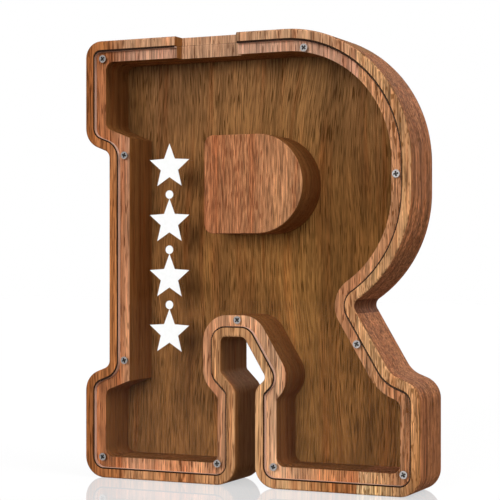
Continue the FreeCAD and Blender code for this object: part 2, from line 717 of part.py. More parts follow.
pieces = staves(frame())
pieces.append(back_panel())
pieces.append(counter_block())
pieces.append(front_window())
pieces.append(window_decal())
for number, place in enumerate(SCREW_PLACES, start=1):
    pieces.append(screw(number, place))
doc.recompute()

# Every object and shape is sound before anything is written
failed = [thing.Name for thing in doc.Objects if {"Invalid", "Error"} & set(thing.State)]
if failed:
    raise RuntimeError(f"failed objects: {failed}")
for piece in pieces:
    if piece.Shape.isNull() or not piece.Shape.isValid():
        raise RuntimeError(f"bad shape: {piece.Label}")

os.makedirs("parts", exist_ok=True)
for piece in pieces:
    piece.Shape.exportStep(f"parts/{piece.Label}.step")
    box = piece.Shape.optimalBoundingBox(False)
    spans = [(box.XMin, box.XMax), (box.YMin, box.YMax), (box.ZMin, box.ZMax)]
    reach = ", ".join(f"{low:.2f} to {high:.2f}" for low, high in spans)
    print(f"{piece.Label}: {len(piece.Shape.Solids)} solids, {piece.Shape.Volume:.1f} mm3, reaching {reach}")
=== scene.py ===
# %% [markdown]
# # A wooden money box in the shape of a block letter
# The box is a hollow letter: a frame of glued-up hardwood staves, a darker board that closes the back,
# a solid block where the letter's counter would be, and a clear acrylic window held by eleven small screws.
# The CAD model already has these shapes, so Blender's work is the finish of each surface.
# The CAD box is kept here, because the front and the floor are placed by it.

# %% Load the CAD model and keep its box
import json
import math

import bpy
import numpy as np
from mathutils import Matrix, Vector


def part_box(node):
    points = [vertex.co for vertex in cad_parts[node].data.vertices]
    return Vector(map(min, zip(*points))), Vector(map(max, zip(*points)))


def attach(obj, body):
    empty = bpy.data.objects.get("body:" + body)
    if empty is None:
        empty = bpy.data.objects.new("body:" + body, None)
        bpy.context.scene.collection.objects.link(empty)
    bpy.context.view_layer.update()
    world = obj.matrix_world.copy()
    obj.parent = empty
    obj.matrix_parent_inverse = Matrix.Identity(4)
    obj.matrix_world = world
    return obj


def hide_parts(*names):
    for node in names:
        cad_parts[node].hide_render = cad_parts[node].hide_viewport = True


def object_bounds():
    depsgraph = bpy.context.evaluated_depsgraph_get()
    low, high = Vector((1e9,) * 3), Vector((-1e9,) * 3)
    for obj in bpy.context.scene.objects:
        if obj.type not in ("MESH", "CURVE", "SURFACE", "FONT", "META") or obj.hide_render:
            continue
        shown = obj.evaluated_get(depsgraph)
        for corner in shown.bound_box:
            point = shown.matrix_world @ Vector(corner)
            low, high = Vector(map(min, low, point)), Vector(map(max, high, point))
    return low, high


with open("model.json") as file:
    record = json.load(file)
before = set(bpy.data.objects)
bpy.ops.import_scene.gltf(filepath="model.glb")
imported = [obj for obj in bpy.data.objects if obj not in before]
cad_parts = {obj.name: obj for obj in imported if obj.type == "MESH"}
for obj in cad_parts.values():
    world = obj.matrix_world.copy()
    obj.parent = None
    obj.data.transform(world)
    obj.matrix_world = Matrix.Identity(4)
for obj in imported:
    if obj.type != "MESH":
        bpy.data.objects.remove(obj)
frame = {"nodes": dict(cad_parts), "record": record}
nodes = frame["nodes"]
cad_box = [list(corner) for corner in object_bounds()]
MM = 0.001
print("CAD box in mm:", [[round(v / MM, 1) for v in corner] for corner in cad_box])

# %% [markdown]
# ## Colours and nodes
# A colour picked from a screen is an sRGB code, but Blender mixes light in linear numbers, so one function
# turns a code into linear values. A material is a small network of nodes. One more function adds a node,
# sets it up and plugs it in, which keeps every recipe below short enough to read from top to bottom.
# A socket goes by its name or its number. A Mix node has several sockets of the same name, so there the
# numbers are needed: 0 is the amount, 2 and 3 are its two values and 6 and 7 its two colours. Of what comes
# out of it, 0 is the value and 2 is the colour.

# %% Small helpers for materials
def colour(code):
    """Linear RGBA of an sRGB hex code: each channel is divided by 255 and the screen's curve is undone."""
    screen = np.array([int(code[i : i + 2], 16) for i in (1, 3, 5)]) / 255
    linear = np.where(screen <= 0.04045, screen / 12.92, ((screen + 0.055) / 1.055) ** 2.4)
    return (*linear.tolist(), 1.0)


def add(tree, kind, inputs=None, **settings):
    """Adds one node. Settings go on the node, and inputs on its sockets, as a value or as a link."""
    node = tree.nodes.new("ShaderNode" + kind)
    for name, value in settings.items():
        setattr(node, name, value)
    for socket, value in (inputs or {}).items():
        if isinstance(value, bpy.types.NodeSocket):
            tree.links.new(value, node.inputs[socket])
        else:
            node.inputs[socket].default_value = value
    return node


def new_material(name):
    """A material with no nodes yet, and its node tree."""
    material = bpy.data.materials.new(name)
    material.use_nodes = True
    material.node_tree.nodes.clear()
    return material, material.node_tree


# %% [markdown]
# ## Hardwood: the grain
# The frame is a coarse tropical hardwood of the kind sold as merbau or acacia: orange-brown to tan, with
# bands that run up the board, fine fibres, and open pores that show as short dark dashes. All of these are
# the same thing at different sizes: a pattern stretched along the grain. So each layer is a noise in Object
# coordinates, squeezed across the grain and stretched along Z, with the sizes given in millimetres.
# Noise in three dimensions has a second gift: where the saw cuts across the grain, at the top and under the
# feet, the dashes turn into dots by themselves, as end grain does.

# %% The grain, layer on layer
def grain_layers(tree, layers, seed):
    """Draws layers of noise, and returns them by name, with X, Y and Z on the waving grain.

    A layer is (mm along X, along Y and along Z, detail, two levels of the noise, what they are stretched to).
    The first one is the wave: it moves X from side to side, and all that follow are drawn on the moved place.
    """
    place = add(tree, "TexCoord").outputs["Object"]
    x, y, z = add(tree, "SeparateXYZ", {0: place}).outputs
    drawn = {}
    for number, (title, (wide, deep, tall, detail, low, high, start, end)) in enumerate(layers.items()):
        squeeze = (1 / (wide * MM), 1 / (deep * MM), 1 / (tall * MM))
        # Each layer is shifted to another part of the noise, or all of them would have one pattern.
        shift = (seed + 3.1 * number, seed - 2.3 * number, seed + 0.7 * number)
        spot = add(tree, "Mapping", {"Vector": place, "Scale": squeeze, "Location": shift}).outputs[0]
        noise = add(tree, "TexNoise", {"Vector": spot, "Scale": 1.0, "Detail": detail}).outputs[0]
        stretch = {"Value": noise, "From Min": low, "From Max": high, "To Min": start, "To Max": end}
        drawn[title] = add(tree, "MapRange", stretch).outputs[0]
        if title == "wave":
            x = add(tree, "Math", {0: x, 1: drawn["wave"]}, operation="ADD").outputs[0]
            place = add(tree, "CombineXYZ", {0: x, 1: y, 2: z}).outputs[0]
    return drawn, (x, y, z)


# %% [markdown]
# ## Hardwood: the tone of a board
# A board isn't one colour. It changes from edge to edge, and it fades towards its head. A colour ramp with a
# few stops across X gives the first, and a slow fade up Z gives the second.

# %% The tone of a board
LEFT_STRIP = (-73 * MM, -62 * MM)


def board_tone(tree, x, z, tones, head):
    """The board's colour: stops across X, mixed with the colour of the head further up.

    tones are (X in mm, colour code), and head is (colour code, share, Z in mm where it starts and is full).
    """
    first, last = tones[0][0] * MM, tones[-1][0] * MM
    across = add(tree, "MapRange", {"Value": x, "From Min": first, "From Max": last}).outputs[0]
    ramp = add(tree, "ValToRGB", {0: across})
    stops = ramp.color_ramp.elements
    for place_mm, _ in tones[1:-1]:
        stops.new((place_mm * MM - first) / (last - first))
    for stop, (_, code) in zip(stops, tones):
        stop.color = colour(code)
    head_colour, share, start, full = head
    rise = {"Value": z, "From Min": start * MM, "From Max": full * MM, "To Max": share}
    faded = add(tree, "MapRange", rise, interpolation_type="SMOOTHSTEP").outputs[0]
    # The outermost strip on the left keeps its tone up to the top.
    strip = {"Value": x, "From Min": LEFT_STRIP[0], "From Max": LEFT_STRIP[1]}
    beyond = add(tree, "MapRange", strip).outputs[0]
    faded = add(tree, "Math", {0: faded, 1: beyond}, operation="MULTIPLY").outputs[0]
    toned = {0: faded, 6: ramp.outputs[0], 7: colour(head_colour)}
    return add(tree, "Mix", toned, data_type="RGBA").outputs[2]


# %% [markdown]
# ## Hardwood: front, ledge and sides
# One board has three finishes. Its front looks sanded and oiled. Under the window it is a little pinker and
# lighter: partly its colour as unoiled milled wood, partly painted light that makes up for the light the
# window and the rim keep from it. Its sides are redder and darker: partly their own tone, partly painted
# shade.
# The faces could be painted one by one, but masks do it without seams: which way a face looks, which is
# its normal, and how deep it lies behind the front tell the three apart.

# %% Masks for the ledge and the sides
FRONT = cad_box[0][1]
# Depths behind the front: past its rounded edge, and between the ledge and the floor of the coin notch.
PAST_EDGE = (FRONT + 1.1 * MM, FRONT + 1.5 * MM)
PAST_LEDGE = (FRONT + 4.0 * MM, FRONT + 6.0 * MM)
# The notch floor keeps this share of the ledge's painted lightening, which leaves painted shade there.
NOTCH_LIGHTENING_KEPT = 0.15


def face_masks(tree, y, side_grain):
    """Three masks: the ledge with its painted lightening, the sides, and how much of the grain shows."""
    normal = add(tree, "SeparateXYZ", {0: add(tree, "NewGeometry").outputs["Normal"]}).outputs
    # The ledge and the coin notch face forward but lie behind the front, so these two tests find them.
    forward = add(tree, "MapRange", {"Value": normal["Y"], "From Min": -0.6, "From Max": -0.8}).outputs[0]
    inside = {"Value": y, "From Min": PAST_EDGE[0], "From Max": PAST_EDGE[1]}
    inside = add(tree, "MapRange", inside).outputs[0]
    bare_and_lightened = add(tree, "Math", {0: forward, 1: inside}, operation="MULTIPLY").outputs[0]
    # The floor of the coin notch lies deeper than the ledge and keeps little of its lightening: painted
    # shade.
    notch_shade = {"Value": y, "From Min": PAST_LEDGE[0], "From Max": PAST_LEDGE[1], "To Min": 1.0}
    notch_shade = add(tree, "MapRange", {**notch_shade, "To Max": NOTCH_LIGHTENING_KEPT}).outputs[0]
    bare_and_lightened = add(tree, "Math", {0: bare_and_lightened, 1: notch_shade}, operation="MULTIPLY").outputs[0]
    turned = add(tree, "Math", {0: normal["Y"]}, operation="ABSOLUTE").outputs[0]
    sideways = add(tree, "MapRange", {"Value": turned, "From Min": 0.6, "From Max": 0.3}).outputs[0]
    # The grain hardly shows on the walls inside the box. Those that the camera sees face right.
    facing = {"Value": normal["X"], "From Min": 0.3, "From Max": 0.6, "To Min": 1.0, "To Max": side_grain}
    calm = add(tree, "MapRange", facing).outputs[0]
    return bare_and_lightened, sideways, calm


# %% [markdown]
# ## Hardwood: one recipe
# Now the colour is built up coat by coat: the tone of the board, the darker sides with their painted shade,
# the grain and its tints, the pores, the rings on the sides, and last the ledge with its painted lightening.
# A coat is one Mix node, which covers what lies below or multiplies it. Pores are also duller and lower than
# the wood between them, so the same layer drives roughness and bump.

# %% The hardwood recipe
RED_TINT = colour("#f2c2a4")
# A tint above 1 makes the wood lighter.
HONEY_TINT = (1.16, 1.2, 1.04, 1.0)
# A pore is full when the noise is this far past its start, and it then hides this share of the wood.
PORE_EDGE = 0.07
PORE_SHARE = 0.75


def hardwood(name, tones, head, pores, sides, ledge_lightening, streak=0.32, fibre=0.46, blotch=0.12, figure=0.8,
             short=1.0, seed=0.0):
    """Wood with its grain along Z, in the tones and with the head that board_tone describes.

    pores are (colour code, mm across, mm along, level of the noise to start at).
    sides are (colour code, share of the grain where they face right) for what doesn't face forward or back:
    a darker colour, partly painted shade. ledge_lightening is the tint of the ledge behind the front, partly
    painted light.
    streak, fibre and blotch say how strongly these layers darken and lighten. figure is how many mm the
    grain waves from side to side, and short is a factor on how long its lines are.
    """
    material, tree = new_material(name)
    pore_colour, pore_width, pore_length, pore_start = pores
    side_colour, side_grain = sides
    layers = {
        "wave": (40, 40, 110, 1.0, 0.3, 0.7, -figure * MM, figure * MM),
        "bands": (6, 6, 130, 2.0, 0.3, 0.7, 0.84, 1.16),
        "patches": (26, 26, 55 * short, 2.0, 0.3, 0.7, 1 - blotch, 1 + blotch),
        "streaks": (1.4, 1.4, 45 * short, 3.0, 0.3, 0.7, 1 - streak, 1 + streak),
        "fibres": (0.55, 0.55, 14 * short, 3.0, 0.3, 0.7, 1 - fibre, 1 + fibre),
        # The growth rings lie flat in the board, so they show as lines round its sides.
        "rings": (90, 2.2, 90, 3.0, 0.3, 0.7, 0.6, 1.4),
        "red": (4, 4, 90, 2.0, 0.52, 0.72, 0.0, 0.5),
        "honey": (2.6, 2.6, 60, 2.0, 0.55, 0.75, 0.0, 0.45),
        # Pores come in patches, so a slow noise moves the level at which a pore begins.
        "crowd": (20, 20, 50, 2.0, 0.35, 0.65, -0.05, 0.05),
        # Pores of such wood are about 0.3 mm wide. They are drawn wider, so that they show.
        "pores": (pore_width, pore_width, pore_length, 0.5, 0.0, 1.0, 0.0, 1.0),
    }
    layer, (x, y, z) = grain_layers(tree, layers, seed)
    bare_and_lightened, sideways, calm = face_masks(tree, y, side_grain)

    shade = layer["bands"]
    for title in ("patches", "streaks", "fibres"):
        shade = add(tree, "Math", {0: shade, 1: layer[title]}, operation="MULTIPLY").outputs[0]
    grey = add(tree, "CombineColor", {0: shade, 1: shade, 2: shade}).outputs[0]
    ringed = add(tree, "CombineColor", {0: layer["rings"], 1: layer["rings"], 2: layer["rings"]}).outputs[0]
    edged = add(tree, "Math", {0: sideways, 1: calm}, operation="MULTIPLY").outputs[0]
    level = add(tree, "Math", {0: layer["pores"], 1: layer["crowd"]}, operation="ADD").outputs[0]
    pore_full = pore_start + PORE_EDGE
    opened = {"Value": level, "From Min": pore_start, "From Max": pore_full, "To Max": PORE_SHARE}
    pored = add(tree, "MapRange", opened).outputs[0]
    pored = add(tree, "Math", {0: pored, 1: calm}, operation="MULTIPLY").outputs[0]

    # One coat after another: how it is laid on, where, and its colour.
    coats = [
        # Sides: a darker colour, partly their own tone and partly painted shade.
        ("MIX", sideways, colour(side_colour)),
        ("MULTIPLY", calm, grey),
        ("MULTIPLY", layer["red"], RED_TINT),
        ("MULTIPLY", layer["honey"], HONEY_TINT),
        ("MIX", pored, colour(pore_colour)),
        ("MULTIPLY", edged, ringed),
        # The ledge: a lighter tint, partly unoiled wood and partly painted light.
        ("MULTIPLY", bare_and_lightened, (*ledge_lightening, 1.0)),
    ]
    wood = board_tone(tree, x, z, tones, head)
    for mode, amount, tint in coats:
        wood = add(tree, "Mix", {0: amount, 6: wood, 7: tint}, data_type="RGBA", blend_type=mode).outputs[2]

    dull = add(tree, "MapRange", {"Value": pored, "To Min": 0.75, "To Max": 0.92}).outputs[0]
    height = add(tree, "Math", {0: layer["fibres"], 1: pored}, operation="SUBTRACT").outputs[0]
    bump = add(tree, "Bump", {"Height": height, "Strength": 0.2, "Distance": 0.12 * MM}).outputs[0]
    finish = {"Base Color": wood, "Roughness": dull, "Normal": bump, "IOR": 1.48, "Specular IOR Level": 0.03}
    add(tree, "OutputMaterial", {"Surface": add(tree, "BsdfPrincipled", finish).outputs[0]})
    print(name, "has", len(tree.nodes), "nodes")
    return material


# %% [markdown]
# ## The staves of the frame
# The frame was cut from a board glued up from several staves, and each stave keeps its own tone.
# The widest one is orange-brown at the stem and tan towards the middle, with a redder strip beside the glue
# line. The stave on the right is paler, and the bit between them at the waist is dark on its outside: painted
# shade.
# One recipe makes them all, and only the tones, the pores and the strength of the grain change.

# %% Dress the widest stave
main_tones = [
    (-85, "#87502a"),
    (-81, "#90572f"),
    (-79, "#a2663c"),
    (-68, "#a2663b"),
    (-60, "#bc885f"),
    (-38, "#b4794d"),
    (20, "#bd9268"),
    (40, "#b27848"),
    (57, "#ac6c40"),
]
main_head = ("#b58b6c", 0.75, 120, 205)
main_pores = ("#54290f", 0.6, 8, 0.60)
inner_sides = ("#956134", 0.4)
main_ledge = (1.24, 1.23, 1.42)
main_wood = hardwood("oiled_merbau_main", main_tones, main_head, main_pores, inner_sides, main_ledge)
dressing = {"frame_main_stave": main_wood}

# %% Dress the paler stave and the waist
pale_tones = [(54, "#c6a67d"), (64, "#bf996a"), (76, "#b0825a"), (86, "#ab7344")]
pale_head = ("#b3845c", 0.85, 12, 60)
pale_pores = ("#6b3f18", 0.5, 3.5, 0.58)
outer_sides = ("#a0653f", 1.0)
pale_ledge = (1.12, 0.98, 0.98)
pale = (pale_tones, pale_head, pale_pores, outer_sides, pale_ledge)
pale_wood = hardwood("oiled_merbau_pale", *pale, streak=0.42, fibre=0.7, seed=4.7)
dressing["frame_bowl_stave"] = pale_wood
dressing["frame_leg_stave"] = pale_wood

waist_tones = [(40, "#b3764a"), (58, "#a8653c")]
waist_pores = ("#5a2a10", 0.6, 6, 0.62)
# The waist's dark outside is painted shade.
waist_shaded_sides = ("#744529", 1.0)
waist = (waist_tones, pale_head, waist_pores, waist_shaded_sides, pale_ledge)
dressing["frame_waist"] = hardwood("oiled_merbau_red", *waist, seed=9.2)

# %% [markdown]
# ## The back board and the counter block
# The board behind looks like the same kind of wood, but browner and more olive, with soft blotches, darker
# pores and a grain that waves. The block in the middle is pinkish. It stands right behind the window, and its
# face looks raw. Both have shorter lines than the frame.

# %% Dress the board and the block
AS_IT_IS = (1.0, 1.0, 1.0)
# Across X the board is darker towards the walls at both ends, which is painted shade, and lighter at -40 mm,
# which is painted light that makes up for the vinyl's shadow.
panel_tones = [(-82, "#684626"), (-40, "#8c5e34"), (20, "#906333"), (44, "#784f27"), (82, "#6f4a25")]
panel_head = ("#8e6541", 0.6, 120, 205)
panel_pores = ("#402408", 0.42, 9, 0.585)
panel = (panel_tones, panel_head, panel_pores, inner_sides, AS_IT_IS)
panel_look = {"streak": 0.24, "fibre": 0.44, "blotch": 0.24, "figure": 3.5, "short": 0.7, "seed": 13.0}
dressing["back_panel"] = hardwood("oiled_merbau_brown", *panel, **panel_look)

block_tones = [(-23, "#aa6b46"), (28, "#b68058")]
block_head = ("#b5764e", 0.3, 120, 160)
block_pores = ("#7c4326", 0.45, 6, 0.58)
block = (block_tones, block_head, block_pores, inner_sides, AS_IT_IS)
block_look = {"streak": 0.2, "fibre": 0.6, "figure": 0.6, "short": 0.6, "seed": 17.5}
dressing["counter_block"] = hardwood("raw_merbau_block", *block, **block_look)

# %% [markdown]
# ## The clear window
# The window is a sheet of cast acrylic, 2.5 mm thick, with a refractive index of 1.49. Real clear plastic
# lets lamp light through to what lies behind it. A path tracer only finds that light by luck, so rays from
# lamps and rays that bounce about inside the box meet a plain transparent shader instead of the refracting
# one. The sheet should hardly mirror the bright table, so its index is drawn down to 1.15.

# %% Dress the window
acrylic, tree = new_material("clear_cast_acrylic")
sheet = {"Base Color": colour("#fbfcfd"), "Roughness": 0.0, "IOR": 1.15, "Transmission Weight": 1.0}
clear = add(tree, "BsdfPrincipled", sheet)
through = add(tree, "BsdfTransparent", {"Color": colour("#f8f9fa")})
path = add(tree, "LightPath").outputs
unseen = add(tree, "Math", {0: path["Is Shadow Ray"], 1: path["Is Diffuse Ray"]}, operation="MAXIMUM")
choice = add(tree, "MixShader", {0: unseen.outputs[0], 1: clear.outputs[0], 2: through.outputs[0]})
add(tree, "OutputMaterial", {"Surface": choice.outputs[0]})
dressing["front_window"] = acrylic
print("acrylic drawn with an index of", sheet["IOR"])

# %% [markdown]
# ## The gap round the window
# A thin dark line runs round the window, with a paler one inside it. The dark line is the gap, where hardly
# any light gets in. A nearly black strip on the wall of the rebate paints that shade in, and the front of the
# sheet's rim gets the same painted shade. A cutter that scorches the wall of the rebate would leave it that
# dark, so the wall is drawn scorched, but that is a guess. The pale line is the sheet's own rim, which a saw
# leaves frosted. The lines could be painted with masks, but these would need the window's outline as numbers.
# Thin strips that follow the CAD window need none. First comes their path: the border of the window's front
# face is every side of a triangle that no other triangle shares.

# %% The border of the window's front
# A point of the border this near to a screw's middle is on the rim of its hole.
HOLE_REACH = 3 * MM
# A triangle is part of the front if it lies no deeper than this behind the foremost point.
FLATNESS = 0.01 * MM
# Points that agree to this many decimals of a metre are one point.
SAME_PLACE = 7


def front_border(node, holes):
    """Border of a node's front face, as points (X, Z) and pairs of points, without the rims of its holes."""
    mesh = nodes[node].data
    spots = np.empty(len(mesh.vertices) * 3, np.float32)
    mesh.vertices.foreach_get("co", spots)
    spots = spots.reshape(-1, 3).astype(float)
    mesh.calc_loop_triangles()
    corners = np.empty(len(mesh.loop_triangles) * 3, np.int32)
    mesh.loop_triangles.foreach_get("vertices", corners)
    corners = corners.reshape(-1, 3)
    front = np.all(spots[corners, 1] < spots[:, 1].min() + FLATNESS, axis=1)
    flat, same = np.unique(np.round(spots[:, [0, 2]], SAME_PLACE), axis=0, return_inverse=True)
    corners = same.ravel()[corners[front]]
    sides = np.concatenate([corners[:, [0, 1]], corners[:, [1, 2]], corners[:, [2, 0]]])
    _, first, shared = np.unique(np.sort(sides, axis=1), axis=0, return_index=True, return_counts=True)
    border = sides[first[shared == 1]]
    away = np.linalg.norm(flat[border[:, 0], None] - holes[None], axis=2).min(axis=1)
    border = border[away > HOLE_REACH]
    used, pairs = np.unique(border, return_inverse=True)
    return flat[used], pairs.reshape(-1, 2)


screw_names = sorted(name for name in nodes if name.startswith("screw_"))
screw_boxes = np.array([[list(corner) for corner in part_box(name)] for name in screw_names])
screw_centres = screw_boxes.mean(axis=1)[:, [0, 2]]
corners, sides = front_border("front_window", screw_centres)
print("window border:", len(corners), "corners")

# %% [markdown]
# ## The path of the strips
# Long sides of the border are divided into short steps, so that the path may stop between two corners.
# Each point gets a direction to be pushed along: the middle of the normals of the two sides that meet there.
# Nothing faces the window's rim where the coin notch cuts through the frame, so the path is open there. The
# part's record says where the notch is.

# %% Divide the border into short steps and find which way is out
STEP = 0.5 * MM
reach = corners[sides[:, 1]] - corners[sides[:, 0]]
parts = np.ceil(np.linalg.norm(reach, axis=1) / STEP).astype(int)
owner = np.repeat(np.arange(len(sides)), parts)
count = np.arange(len(owner)) - np.repeat(np.cumsum(parts) - parts, parts)
ends = [corners[sides[owner, 0]] + ((count + k) / parts[owner])[:, None] * reach[owner] for k in (0, 1)]
rim, pairs = np.unique(np.round(np.concatenate(ends), SAME_PLACE), axis=0, return_inverse=True)
pairs = pairs.reshape(2, -1).T
normals = np.stack([reach[:, 1], -reach[:, 0]], axis=1)[owner]
outward = np.zeros_like(rim)
np.add.at(outward, pairs[:, 0], normals)
np.add.at(outward, pairs[:, 1], normals)
outward /= np.linalg.norm(outward, axis=1, keepdims=True)
print("border in", len(pairs), "steps")

# %% Leave out the coin notch
# The path stops this far before the notch.
NOTCH_SPARE = 0.5 * MM
openings = {opening["name"]: opening["box_m"] for opening in frame["record"]["physics"]["openings"]}
slot_low, slot_high = openings["coin_slot"]
across, up = rim[pairs].mean(axis=1).T
in_notch = (across > slot_low[0] - NOTCH_SPARE) & (across < slot_high[0] + NOTCH_SPARE) & (up > slot_low[2])
pairs = pairs[~in_notch]
print(in_notch.sum(), "steps left out at the notch")

# %% [markdown]
# ## Two strips
# A strip is the path pushed by two amounts and set at two depths. That gives four rings of points, and walls
# between them make a closed band. One lies just inside the sheet's rim and moves with the window. The other
# is
# painted shade: it lies on the wall of the rebate, stays with the case and is drawn so thick that it fills
# most of the gap, or it would be too fine to show.

# %% Strips along the border
def border_strip(name, near, far, front, back):
    """A closed strip: the border moved out by near and by far, each at two depths, joined by walls.

    Its faces are the near wall, the front, the back and the far wall, then the two ends.
    """
    shifts = [np.broadcast_to(near, len(rim)), np.broadcast_to(far, len(rim))]
    spots = [rim + shift[:, None] * outward for shift in shifts for _ in range(2)]
    depths = [np.full(len(rim), depth) for depth in (front, back, front, back)]
    rings = [np.stack([spot[:, 0], depth, spot[:, 1]], axis=1) for spot, depth in zip(spots, depths)]
    near_front, near_back, far_front, far_back = [len(rim) * ring + pairs for ring in range(4)]
    walls = [(near_back, near_front), (near_front, far_front), (far_back, near_back), (far_front, far_back)]
    faces = [np.concatenate([a, b[:, ::-1]], axis=1) for a, b in walls]
    lone_start = np.setdiff1d(pairs[:, 0], pairs[:, 1])
    lone_end = np.setdiff1d(pairs[:, 1], pairs[:, 0])
    square = len(rim) * np.array([0, 1, 3, 2])
    faces.append(lone_start[:, None] + square[::-1])
    faces.append(lone_end[:, None] + square)
    # Points at the notch belong to no face, so only the used ones are kept.
    used, faces = np.unique(np.concatenate(faces), return_inverse=True)
    faces = faces.reshape(-1, 4)
    mesh = bpy.data.meshes.new(name)
    mesh.from_pydata(np.concatenate(rings)[used].tolist(), [], faces.tolist())
    strip = bpy.data.objects.new(name, mesh)
    bpy.context.scene.collection.objects.link(strip)
    print(name, "has", len(faces), "faces on", len(used), "points")
    return strip


# %% Make the sawn edge and the painted gap shade
# Both strips stop just short of the faces beside them. The strip of painted gap shade stands a little proud
# of the sheet.
SIDE_SPARE = 0.05 * MM
FACE_SPARE = 0.04 * MM
GAP_SHADE_NEAR = 0.06 * MM
GAP_SHADE_FAR = 0.53 * MM
GAP_SHADE_PROUD = 0.1 * MM
# In the photograph the dark line is wider along the top, so the strip with the dark front is wider there.
EDGE_WIDTH = 0.12 * MM
EDGE_EXTRA_ON_TOP = 0.3 * MM
edge_width = EDGE_WIDTH + EDGE_EXTRA_ON_TOP * np.clip(outward[:, 1], 0, 1)
window_low, window_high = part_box("front_window")
in_sheet = (window_low.y + FACE_SPARE, window_high.y - FACE_SPARE)
sawn_edge = border_strip("window_sawn_edge", -edge_width, -SIDE_SPARE, *in_sheet)
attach(sawn_edge, "window")
# A nearly black strip of painted shade fills most of the gap on the wall of the rebate.
on_wall = (window_low.y - GAP_SHADE_PROUD, window_high.y - FACE_SPARE)
gap_shade_strip = border_strip("rebate_gap_shade", GAP_SHADE_NEAR, GAP_SHADE_FAR, *on_wall)
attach(gap_shade_strip, "case")

# %% [markdown]
# ## Frosted edge and painted shade
# A sawn rim of acrylic is frosted and scatters light. Its warm tone is painted reflection of the wood beside
# it. Its front is drawn dark, as painted shade that joins the dark line, so only its other sides are pale.
# The strip in the gap is nearly black painted shade. All three are matt, with marks of about 0.9 mm.

# %% Dress the strips
MARK_SIZE = 0.9 * MM
finishes = {
    # The frosted rim's warm tone is painted reflection of the wood. The other two finishes are painted shade.
    "frosted_acrylic_edge": ("#dcb096", "#f2ccb4", sawn_edge),
    "painted_shade_acrylic_edge": ("#20140d", "#332014", sawn_edge),
    "painted_gap_shade": ("#20120a", "#362012", gap_shade_strip),
}
for finish, (dark, light, strip) in finishes.items():
    rind, tree = new_material(finish)
    place = add(tree, "TexCoord").outputs["Object"]
    marks = add(tree, "TexNoise", {"Vector": place, "Scale": 1 / MARK_SIZE, "Detail": 2.0}).outputs[0]
    tint = {0: marks, 6: colour(dark), 7: colour(light)}
    mottled = add(tree, "Mix", tint, data_type="RGBA").outputs[2]
    matt = {"Base Color": mottled, "Roughness": 0.8, "Specular IOR Level": 0.1}
    add(tree, "OutputMaterial", {"Surface": add(tree, "BsdfPrincipled", matt).outputs[0]})
    strip.data.materials.append(rind)
    print(finish, "is on", strip.name)
# The faces of the front come second, after those of the near wall.
# The front faces get the dark finish, which is painted shade.
painted_shade = np.zeros(len(sawn_edge.data.polygons), np.int32)
painted_shade[len(pairs) : 2 * len(pairs)] = 1
sawn_edge.data.polygons.foreach_set("material_index", painted_shade)
print(painted_shade.sum(), "smoky faces on the sawn edge")

# %% [markdown]
# ## The vinyl on the window
# Plain stars and dots cut from white vinyl film are stuck to the front of the window. Cut film is matt, with
# a faint orange-peel skin, so a noise of about 1.5 mm moves its tone and its roughness a little.

# %% Dress the vinyl
PEEL_SIZE = 1.5 * MM
vinyl, tree = new_material("white_cut_vinyl")
place = add(tree, "TexCoord").outputs["Object"]
peel = add(tree, "TexNoise", {"Vector": place, "Scale": 1 / PEEL_SIZE, "Detail": 2.0}).outputs[0]
tint = {0: peel, 6: colour("#efefed"), 7: colour("#fafafa")}
film = add(tree, "Mix", tint, data_type="RGBA").outputs[2]
matt = add(tree, "MapRange", {"Value": peel, "To Min": 0.45, "To Max": 0.6}).outputs[0]
surface = add(tree, "BsdfPrincipled", {"Base Color": film, "Roughness": matt, "IOR": 1.5})
add(tree, "OutputMaterial", {"Surface": surface.outputs[0]})
dressing["window_decal"] = vinyl
print(vinyl.name, "has", len(tree.nodes), "nodes")

# %% [markdown]
# ## Onto the CAD pieces
# A CAD piece keeps its mesh, because it is already the right shape. Its material slots are emptied, and the
# new finish goes into the first one.

# %% Put the materials on the CAD pieces
for node_name, material in dressing.items():
    slots = nodes[node_name].data.materials
    slots.clear()
    slots.append(material)
print("dressed:", ", ".join(f"{name} in {m.name}" for name, m in dressing.items()))

# %% [markdown]
# ## The screws
# The window is held by small countersunk screws of zinc-plated steel with a cross recess. The CAD screws are
# plain, so each one is worked out again as one closed skin: a profile turned about the screw's axis.
# Two changes make it a screw. On the head, the skin dips where a cross of two slots lies. On the shank, the
# radius follows a ridge whose phase turns with the angle, which is what a thread is.

# %% The screw's surface
AROUND = 72
FACE_RINGS = 34
CONE_RINGS = 8
SHANK_RINGS = 110
# The first ring, as a share of the head's radius.
FIRST_RING = 0.03
RIM_HEIGHT = 0.2 * MM
RECESS_REACH = 1.15 * MM
RECESS_HALF_WIDTH = 0.36 * MM
RECESS_DEPTH = 0.8 * MM
RECESS_WALL = 0.13 * MM
# A power below 1 makes the recess steepest at its top, and the tip bluntest at its end.
RECESS_POWER = 0.7
TIP_POWER = 0.8
SHANK_RADIUS = 1.0 * MM
CORE_RADIUS = 0.72 * MM
THREAD_PITCH = 0.9 * MM
# Half the width of the thread's ridge, as a share of the pitch.
RIDGE_HALF = 0.24
THREAD_RUN_IN = 1.2 * MM
TIP_LENGTH = 2.4 * MM
# The shank's rings start this far below the cone, and stop this far short of the tip.
NECK = 0.1 * MM
TIP_SPARE = 0.02 * MM


